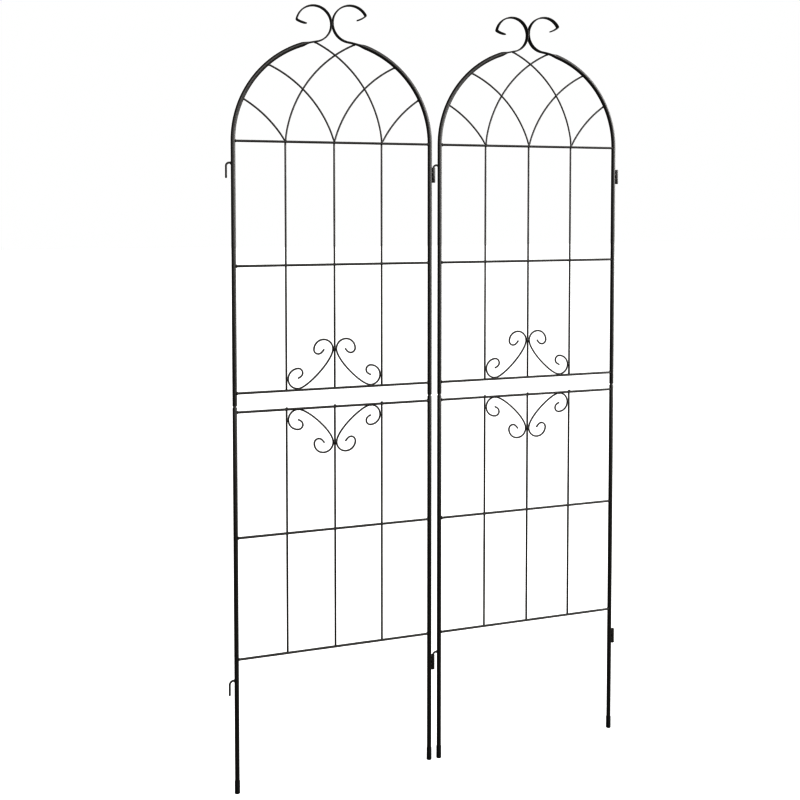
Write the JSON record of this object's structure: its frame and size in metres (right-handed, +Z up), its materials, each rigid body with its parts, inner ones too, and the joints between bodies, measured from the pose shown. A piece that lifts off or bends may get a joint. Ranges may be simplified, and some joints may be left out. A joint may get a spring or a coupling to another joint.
{
  "type": "garden trellis pair",
  "caption": "Two black steel garden trellis panels with arched tops, twin curled finials, interlaced tracery and scrollwork, hooked together side by side and split into plug-together halves.",
  "frame": {"origin": "on the ground, midway between the two panels, under the frame plane", "axes": "+X to the right seen from the front, +Y towards the back of the panels, +Z up"},
  "size_m": [0.984, 0.0148, 1.7975],
  "materials": {
    "frame_tube": "satin powder coat",
    "grid_wire": "satin powder coat",
    "scroll_wire": "satin powder coat",
    "hinge_hardware": "satin powder coat",
    "end_cap_plastic": "matte"
  },
  "bodies": {
    "left_lower": {"left_lower_leg_1": "frame_tube", "left_lower_leg_2": "frame_tube", "left_lower_end_cap_1": "end_cap_plastic", "left_lower_end_cap_2": "end_cap_plastic", "left_lower_rail_bottom": "grid_wire", "left_lower_rail_middle": "grid_wire", "left_lower_rail_top": "grid_wire", "left_lower_wire_1": "grid_wire", "left_lower_wire_2": "grid_wire", "left_lower_wire_3": "grid_wire", "left_lower_scroll_1": "scroll_wire", "left_lower_scroll_2": "scroll_wire", "left_lower_hook": "hinge_hardware", "left_lower_sleeve": "hinge_hardware"},
    "left_upper": {"left_upper_tube_1": "frame_tube", "left_upper_tube_2": "frame_tube", "left_upper_rail_bottom": "grid_wire", "left_upper_rail_middle": "grid_wire", "left_upper_rail_springing": "grid_wire", "left_upper_wire_1": "grid_wire", "left_upper_wire_2": "grid_wire", "left_upper_wire_3": "grid_wire", "left_upper_tracery_1": "scroll_wire", "left_upper_tracery_2": "scroll_wire", "left_upper_tracery_3": "scroll_wire", "left_upper_scroll_1": "scroll_wire", "left_upper_scroll_2": "scroll_wire", "left_upper_hook": "hinge_hardware", "left_upper_sleeve": "hinge_hardware"},
    "right_lower": {"right_lower_leg_1": "frame_tube", "right_lower_leg_2": "frame_tube", "right_lower_end_cap_1": "end_cap_plastic", "right_lower_end_cap_2": "end_cap_plastic", "right_lower_rail_bottom": "grid_wire", "right_lower_rail_middle": "grid_wire", "right_lower_rail_top": "grid_wire", "right_lower_wire_1": "grid_wire", "right_lower_wire_2": "grid_wire", "right_lower_wire_3": "grid_wire", "right_lower_scroll_1": "scroll_wire", "right_lower_scroll_2": "scroll_wire", "right_lower_hook": "hinge_hardware", "right_lower_sleeve": "hinge_hardware"},
    "right_upper": {"right_upper_tube_1": "frame_tube", "right_upper_tube_2": "frame_tube", "right_upper_rail_bottom": "grid_wire", "right_upper_rail_middle": "grid_wire", "right_upper_rail_springing": "grid_wire", "right_upper_wire_1": "grid_wire", "right_upper_wire_2": "grid_wire", "right_upper_wire_3": "grid_wire", "right_upper_tracery_1": "scroll_wire", "right_upper_tracery_2": "scroll_wire", "right_upper_tracery_3": "scroll_wire", "right_upper_scroll_1": "scroll_wire", "right_upper_scroll_2": "scroll_wire", "right_upper_hook": "hinge_hardware", "right_upper_sleeve": "hinge_hardware"}
  },
  "joints": [
    {"name": "panel_fold", "type": "hinge", "parent": "left_lower", "child": "right_lower", "pos_m": [-0.0033, 0, 0.24], "axis": [0, 0, 1], "range_deg": [-125, 125]},
    {"name": "left_upper_lift", "type": "slide", "parent": "left_lower", "child": "left_upper", "axis": [0, 0, 1], "range_m": [0, 0.042]},
    {"name": "right_upper_lift", "type": "slide", "parent": "right_lower", "child": "right_upper", "axis": [0, 0, 1], "range_m": [0, 0.042]}
  ],
  "couplings": [
    {"joint": "right_upper_lift", "follows": "left_upper_lift", "ratio": 1}
  ]
}
